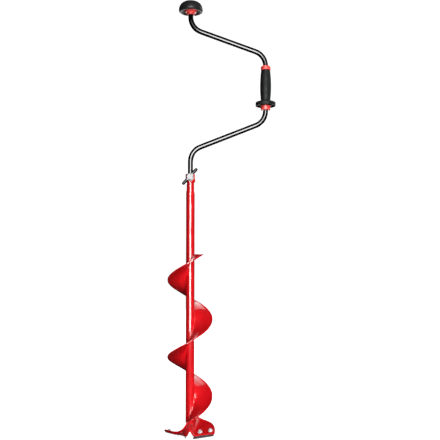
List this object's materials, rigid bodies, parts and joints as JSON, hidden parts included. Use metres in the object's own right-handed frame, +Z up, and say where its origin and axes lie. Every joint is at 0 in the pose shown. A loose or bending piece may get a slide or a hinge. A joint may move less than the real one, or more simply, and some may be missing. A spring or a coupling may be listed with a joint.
{
  "type": "ice fishing auger",
  "caption": "Hand ice auger: spiral flighting on a tube, twisted cutter head with bolted blades, and an offset crank with a palm knob and a turning grip.",
  "frame": {"origin": "on the tube axis, at the level of the lowest blade tip, where the auger stands on the ice", "axes": "+Z up the tube, +X towards the offset grip, -Y along the lock screw"},
  "size_m": [0.3364, 0.1522, 1.3317],
  "materials": {
    "shaft_red": "glossy red paint",
    "blade_steel": "ground steel",
    "zinc": "bright zinc plate",
    "pad_brass": "plain",
    "bar_steel": "drawn steel bar",
    "cap_black": "gloss",
    "crank_black": "glossy black paint",
    "plug_black": "matt",
    "bush_red": "moulded, satin",
    "knob_black": "gloss",
    "grip_rubber": "moulded rubber"
  },
  "bodies": {
    "auger": {"auger_tube": "shaft_red", "neck_tube": "shaft_red", "lock_collar": "shaft_red", "flighting": "shaft_red", "cutter_head": "shaft_red", "blade_right": "blade_steel", "blade_left": "blade_steel", "blade_screws": "zinc", "blade_nuts": "zinc", "lock_boss": "zinc"},
    "handle": {"crank": "crank_black", "crank_foot_plug": "plug_black", "crank_top_insert": "bar_steel", "knob_washer": "zinc", "knob_screw": "zinc"},
    "knob": {"knob_bush": "bush_red", "knob_shell": "knob_black"},
    "grip": {"grip_sleeve": "bush_red", "grip_barrel": "grip_rubber"},
    "lock_tip": {"lock_pad": "pad_brass"},
    "lock_handle": {"lock_screw": "zinc", "lock_bar": "bar_steel", "lock_bar_caps": "cap_black"}
  },
  "joints": [
    {"name": "handle_slide", "type": "slide", "parent": "auger", "child": "handle", "axis": [0, 0, 1], "range_m": [-0.036, 0.115]},
    {"name": "knob_spin", "type": "hinge", "parent": "handle", "child": "knob", "pos_m": [0, 0, 1.31], "axis": [0, 0, 1], "continuous": true},
    {"name": "grip_spin", "type": "hinge", "parent": "handle", "child": "grip", "pos_m": [0.2284, 0, 1.07], "axis": [0, 0, 1], "continuous": true},
    {"name": "lock_travel", "type": "slide", "parent": "auger", "child": "lock_tip", "axis": [0, -1, 0], "range_m": [0, 0.0025]},
    {"name": "lock_turn", "type": "hinge", "parent": "lock_tip", "child": "lock_handle", "pos_m": [0, -0.042, 0.795], "axis": [0, -1, 0], "range_deg": [0, 721]}
  ],
  "couplings": [
    {"joint": "lock_turn", "follows": "lock_travel", "rad_per_m": 5026.5}
  ]
}
